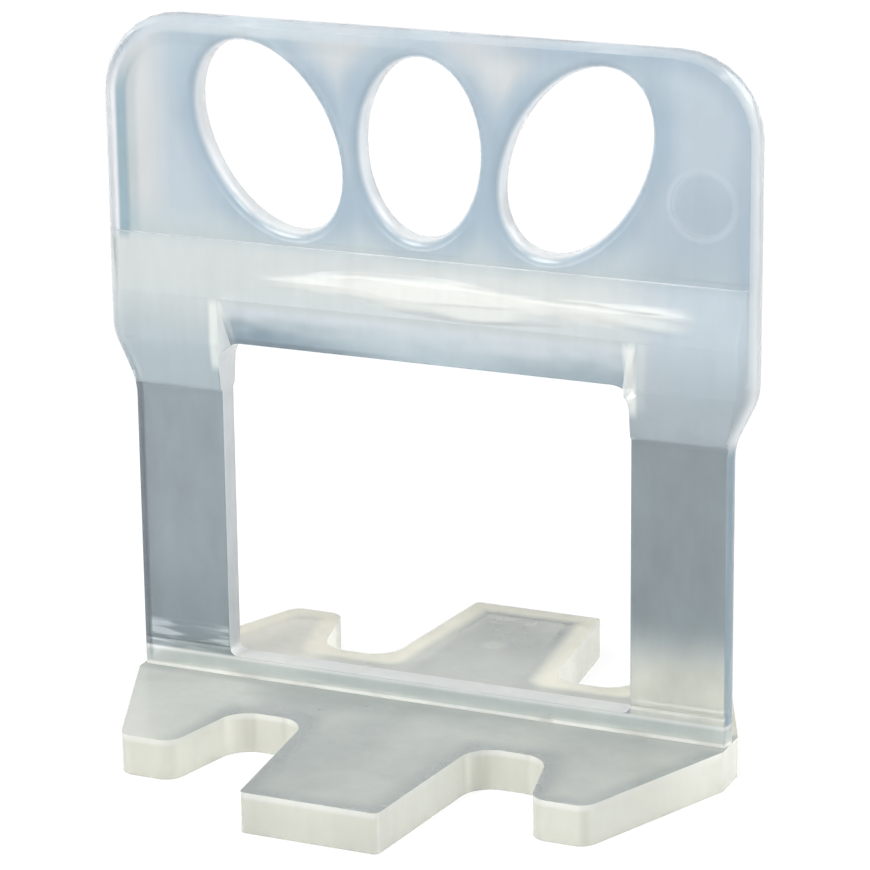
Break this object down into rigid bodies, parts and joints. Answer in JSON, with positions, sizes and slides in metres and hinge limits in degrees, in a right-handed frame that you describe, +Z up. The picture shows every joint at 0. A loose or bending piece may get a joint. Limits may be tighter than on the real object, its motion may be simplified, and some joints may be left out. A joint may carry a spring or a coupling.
{
  "type": "tile levelling clip",
  "caption": "Flat clip with a finger-hole head, a thick crossbar and a wedge window over a lobed base plate, for levelling floor tiles at a joint.",
  "frame": {"origin": "middle of the underside of the base plate", "axes": "X along the tile joint and the clip's width, +Y across the joint away from the pictured face, +Z up towards the head"},
  "size_m": [0.043, 0.0362, 0.0454],
  "materials": {
    "clip_plastic": "milky translucent natural plastic with a soft gloss"
  },
  "bodies": {
    "root": {"levelling_clip": "clip_plastic"}
  },
  "joints": []
}
